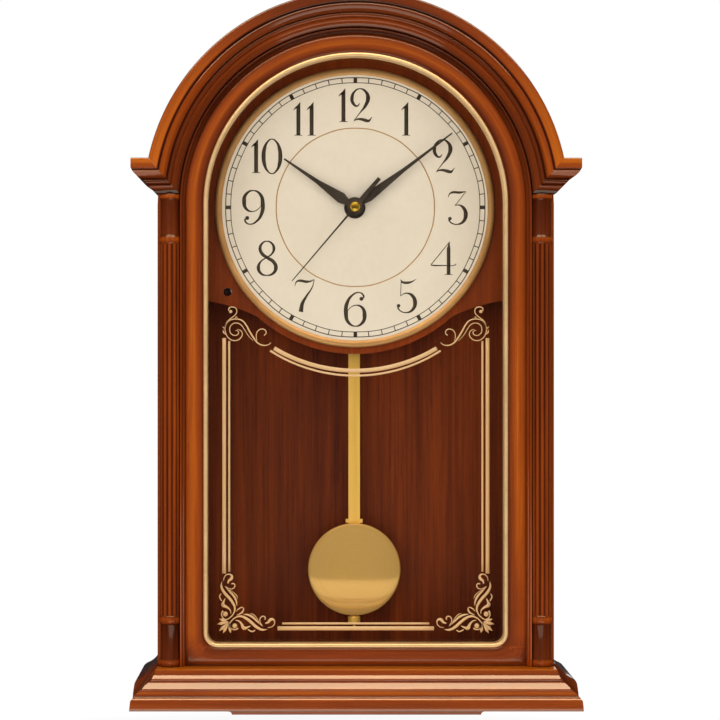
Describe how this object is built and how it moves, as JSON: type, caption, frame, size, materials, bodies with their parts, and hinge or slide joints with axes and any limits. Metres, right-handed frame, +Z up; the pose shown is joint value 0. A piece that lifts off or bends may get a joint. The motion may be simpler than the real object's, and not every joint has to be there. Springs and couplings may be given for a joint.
{
  "type": "pendulum wall clock",
  "caption": "Arched wooden wall clock with a round numbered dial, three hands, half columns, a moulded plinth and a brass pendulum behind a glazed front.",
  "frame": {"origin": "the hanging point: where the wall screw sits at the top of the hanger plate's slot, on the wall plane", "axes": "+Z up, +X to the right seen from the front, -Y out from the wall towards the viewer"},
  "size_m": [0.3276, 0.092, 0.5236],
  "materials": {
    "stained_wood": "gloss lacquer over orange-brown stain",
    "dark_wood": "gloss lacquer over dark brown stain",
    "back_veneer": "dark brown streaked veneer, satin",
    "dial_board_paint": "brown board, satin",
    "stop_wood": "plain",
    "gilt": "satin gilt",
    "dial_gilt": "satin gilt",
    "pendulum_brass": "spun and brushed",
    "glass": "clear float glass",
    "dial_card": "matt cream",
    "hand_black": "satin black",
    "movement_plastic": "moulded",
    "nylon": "moulded",
    "knob_plastic": "moulded",
    "brass": "stamped",
    "steel": "zinc plated",
    "magnet": "sintered",
    "copper_winding": "enamelled copper wire",
    "circuit_green": "solder mask",
    "cell_wrap": "plain printed sleeve",
    "speaker_black": "satin",
    "sensor_lens": "dark red lens",
    "lead_red": "insulated lead"
  },
  "bodies": {
    "case": {"side_left": "dark_wood", "side_right": "dark_wood", "arched_roof": "dark_wood", "bottom_board": "dark_wood", "back_panel": "back_veneer", "hanger_plate": "steel", "front_frame": "stained_wood", "glass_pane": "glass", "window_bead": "gilt", "glass_stop_left": "stop_wood", "glass_stop_right": "stop_wood", "frame_listel": "dark_wood", "cornice_arch": "stained_wood", "cornice_right": "stained_wood", "cornice_left": "stained_wood", "column_left": "dark_wood", "column_right": "dark_wood", "plinth_front": "stained_wood", "plinth_left": "stained_wood", "plinth_right": "stained_wood", "bottom_apron": "stained_wood", "dial_board": "dial_board_paint", "dial_plate": "dial_card", "dial_ring": "dial_gilt", "movement_base": "movement_plastic", "movement_cover": "movement_plastic", "fixing_washer": "brass", "fixing_nut": "brass", "stator": "steel", "motor_coil": "copper_winding", "circuit_board": "circuit_green", "battery": "cell_wrap", "contact_minus": "steel", "contact_plus": "steel", "pivot_pin": "steel", "drive_coil": "copper_winding", "chime_box": "movement_plastic", "chime_cell_1": "cell_wrap", "chime_cell_2": "cell_wrap", "speaker": "speaker_black", "light_sensor": "sensor_lens", "sensor_lead": "lead_red"},
    "minute_hand_group": {"minute_hand": "hand_black", "minute_arbor": "brass"},
    "hour_hand_group": {"hour_hand": "hand_black", "hour_wheel": "nylon"},
    "minute_wheel_group": {"minute_wheel": "nylon"},
    "setting_knob_group": {"setting_knob": "knob_plastic"},
    "second_hand_group": {"second_hand": "hand_black", "hand_cap": "brass", "second_wheel": "nylon"},
    "third_wheel_group": {"third_wheel": "nylon"},
    "centre_wheel_group": {"centre_wheel": "brass"},
    "intermediate_wheel_group": {"intermediate_wheel": "nylon"},
    "rotor_group": {"rotor": "magnet"},
    "pendulum": {"pendulum_arm": "nylon", "pendulum_rod": "pendulum_brass", "bob_front": "pendulum_brass", "bob_back": "pendulum_brass", "rating_nut": "brass"}
  },
  "joints": [
    {"name": "minute_hand_turn", "type": "hinge", "parent": "case", "child": "minute_hand_group", "pos_m": [0, -0.0474, -0.0851], "axis": [0, 1, 0], "continuous": true},
    {"name": "hour_hand_turn", "type": "hinge", "parent": "case", "child": "hour_hand_group", "pos_m": [0, -0.0453, -0.0851], "axis": [0, 1, 0], "continuous": true},
    {"name": "minute_wheel_turn", "type": "hinge", "parent": "case", "child": "minute_wheel_group", "pos_m": [0.012, -0.0282, -0.0851], "axis": [0, 1, 0], "continuous": true},
    {"name": "setting_knob_turn", "type": "hinge", "parent": "case", "child": "setting_knob_group", "pos_m": [0.018, -0.0123, -0.09549], "axis": [0, 1, 0], "continuous": true},
    {"name": "second_hand_turn", "type": "hinge", "parent": "case", "child": "second_hand_group", "pos_m": [0, -0.0494, -0.0851], "axis": [0, 1, 0], "continuous": true},
    {"name": "third_wheel_turn", "type": "hinge", "parent": "case", "child": "third_wheel_group", "pos_m": [0, -0.0227, -0.0707], "axis": [0, 1, 0], "continuous": true},
    {"name": "centre_wheel_turn", "type": "hinge", "parent": "case", "child": "centre_wheel_group", "pos_m": [0, -0.0256, -0.0851], "axis": [0, 1, 0], "continuous": true},
    {"name": "intermediate_wheel_turn", "type": "hinge", "parent": "case", "child": "intermediate_wheel_group", "pos_m": [-0.00996, -0.0185, -0.08872], "axis": [0, 1, 0], "continuous": true},
    {"name": "rotor_turn", "type": "hinge", "parent": "case", "child": "rotor_group", "pos_m": [-0.01613, -0.0215, -0.09608], "axis": [0, 1, 0], "continuous": true},
    {"name": "pendulum_swing", "type": "hinge", "parent": "case", "child": "pendulum", "pos_m": [0, -0.0224, -0.145], "axis": [0, 1, 0], "range_deg": [-8, 8]}
  ],
  "couplings": [
    {"joint": "hour_hand_turn", "follows": "minute_hand_turn", "ratio": 0.083333},
    {"joint": "minute_wheel_turn", "follows": "minute_hand_turn", "ratio": -0.33333},
    {"joint": "setting_knob_turn", "follows": "minute_hand_turn", "ratio": 1},
    {"joint": "third_wheel_turn", "follows": "second_hand_turn", "ratio": -0.13333},
    {"joint": "centre_wheel_turn", "follows": "second_hand_turn", "ratio": 0.016667},
    {"joint": "intermediate_wheel_turn", "follows": "second_hand_turn", "ratio": -6},
    {"joint": "rotor_turn", "follows": "second_hand_turn", "ratio": 30}
  ]
}
